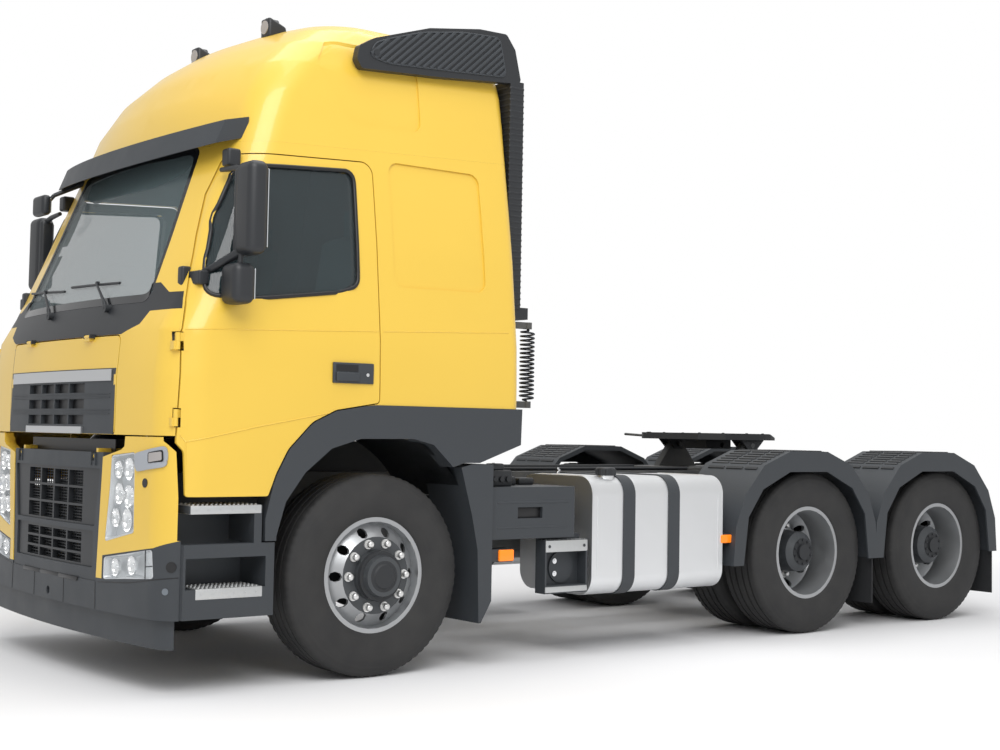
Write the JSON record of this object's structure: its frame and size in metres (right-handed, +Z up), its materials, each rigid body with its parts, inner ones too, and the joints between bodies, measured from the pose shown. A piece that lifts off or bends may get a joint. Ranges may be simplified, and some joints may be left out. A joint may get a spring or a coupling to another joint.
{
  "type": "semi truck tractor unit",
  "caption": "Yellow cab-over tractor unit with a high sleeper roof, three axles and a fifth wheel",
  "frame": {"origin": "middle of the overall length and width, on the ground", "axes": "+X towards the vehicle's left, +Y rearward, +Z up"},
  "size_m": [2.856, 6.599, 3.505],
  "materials": {
    "yellow_paint": "semi-gloss",
    "frame_paint": "satin",
    "axle_paint": "matte",
    "cab_plastic": "matte",
    "black_plastic": "matte",
    "tank_aluminium": "brushed",
    "wheel_steel": "satin",
    "tyre_rubber": "matte",
    "flap_rubber": "matte",
    "cab_glass": "gloss",
    "lamp_glass": "gloss",
    "red_lens": "gloss",
    "seat_fabric": "woven",
    "hose_plastic": "gloss",
    "white_plastic": "gloss"
  },
  "bodies": {
    "chassis": {"frame": "frame_paint", "engine_block": "axle_paint", "front_axle": "axle_paint", "rear_axles": "axle_paint", "springs": "axle_paint", "air_tanks": "frame_paint", "bumper": "cab_plastic", "lower_housing": "cab_plastic", "lower_grille": "black_plastic", "headlamp_panels": "yellow_paint", "lamps": "lamp_glass", "step_boxes": "cab_plastic", "mudguards": "cab_plastic", "mudflaps": "flap_rubber", "battery_box": "cab_plastic", "fuel_tank": "tank_aluminium", "tank_straps": "black_plastic", "rear_fenders": "black_plastic", "tail_lamps": "red_lens", "fifth_wheel_base": "frame_paint"},
    "cab": {"cab_shell": "yellow_paint", "corner_panels": "yellow_paint", "windshield": "cab_glass", "roof": "yellow_paint", "flares": "cab_plastic", "visor": "cab_plastic", "roof_fittings": "white_plastic", "air_intake": "black_plastic", "cowl": "cab_plastic", "dashboard": "black_plastic", "steering_wheel": "black_plastic", "seats": "seat_fabric", "bunk": "seat_fabric", "air_hose": "hose_plastic", "hose_bracket": "frame_paint"},
    "door_left": {"door_left": "yellow_paint", "door_glass_left": "cab_glass", "mirror_left": "black_plastic"},
    "door_right": {"door_right": "yellow_paint", "door_glass_right": "cab_glass", "mirror_right": "black_plastic"},
    "front_hatch": {"front_hatch": "cab_plastic", "upper_grille": "black_plastic"},
    "knuckle_left": {"knuckle_left": "axle_paint"},
    "knuckle_right": {"knuckle_right": "axle_paint"},
    "track_rod": {"track_rod": "axle_paint"},
    "fifth_wheel_plate": {"fifth_wheel_plate": "axle_paint"},
    "wheel_front_left": {"tyre_front_left": "tyre_rubber", "rim_front_left": "wheel_steel"},
    "wheel_front_right": {"tyre_front_right": "tyre_rubber", "rim_front_right": "wheel_steel"},
    "wheel_rear1_left": {"tyre_rear1_left": "tyre_rubber", "rim_rear1_left": "wheel_steel"},
    "wheel_rear1_right": {"tyre_rear1_right": "tyre_rubber", "rim_rear1_right": "wheel_steel"},
    "wheel_rear2_left": {"tyre_rear2_left": "tyre_rubber", "rim_rear2_left": "wheel_steel"},
    "wheel_rear2_right": {"tyre_rear2_right": "tyre_rubber", "rim_rear2_right": "wheel_steel"}
  },
  "joints": [
    {"name": "cab_tilt", "type": "hinge", "parent": "chassis", "child": "cab", "pos_m": [0, -3.2655, 1.105], "axis": [1, 0, 0], "range_deg": [0, 50]},
    {"name": "door_left_swing", "type": "hinge", "parent": "cab", "child": "door_left", "pos_m": [1.185, -3.1735, 1.3], "axis": [0, 0, -1], "range_deg": [0, 75]},
    {"name": "door_right_swing", "type": "hinge", "parent": "cab", "child": "door_right", "pos_m": [-1.185, -3.1735, 1.3], "axis": [0, 0, 1], "range_deg": [0, 75]},
    {"name": "front_hatch_lift", "type": "hinge", "parent": "cab", "child": "front_hatch", "pos_m": [0, -3.2905, 1.703], "axis": [-1, 0, 0], "range_deg": [0, 80]},
    {"name": "steer_left", "type": "hinge", "parent": "chassis", "child": "knuckle_left", "pos_m": [0.88, -2.0435, 0.515], "axis": [0, 0, 1], "range_deg": [-35, 35]},
    {"name": "steer_right", "type": "hinge", "parent": "chassis", "child": "knuckle_right", "pos_m": [-0.88, -2.0435, 0.515], "axis": [0, 0, 1], "range_deg": [-35, 35]},
    {"name": "track_rod_swivel", "type": "hinge", "parent": "knuckle_left", "child": "track_rod", "pos_m": [0.88, -1.8535, 0.425], "axis": [0, 0, 1], "range_deg": [-35, 35]},
    {"name": "spin_front_left", "type": "hinge", "parent": "knuckle_left", "child": "wheel_front_left", "pos_m": [1.042, -2.0435, 0.517], "axis": [1, 0, 0], "continuous": true},
    {"name": "spin_front_right", "type": "hinge", "parent": "knuckle_right", "child": "wheel_front_right", "pos_m": [-1.042, -2.0435, 0.517], "axis": [1, 0, 0], "continuous": true},
    {"name": "spin_rear1_left", "type": "hinge", "parent": "chassis", "child": "wheel_rear1_left", "pos_m": [1.06, 1.2665, 0.517], "axis": [1, 0, 0], "continuous": true},
    {"name": "spin_rear1_right", "type": "hinge", "parent": "chassis", "child": "wheel_rear1_right", "pos_m": [-1.06, 1.2665, 0.517], "axis": [1, 0, 0], "continuous": true},
    {"name": "spin_rear2_left", "type": "hinge", "parent": "chassis", "child": "wheel_rear2_left", "pos_m": [1.06, 2.6365, 0.517], "axis": [1, 0, 0], "continuous": true},
    {"name": "spin_rear2_right", "type": "hinge", "parent": "chassis", "child": "wheel_rear2_right", "pos_m": [-1.06, 2.6365, 0.517], "axis": [1, 0, 0], "continuous": true},
    {"name": "fifth_wheel_pitch", "type": "hinge", "parent": "chassis", "child": "fifth_wheel_plate", "pos_m": [0, 1.5765, 1.195], "axis": [1, 0, 0], "range_deg": [-11, 15]}
  ],
  "couplings": [
    {"joint": "steer_right", "follows": "steer_left", "ratio": 1},
    {"joint": "track_rod_swivel", "follows": "steer_left", "ratio": -1}
  ]
}
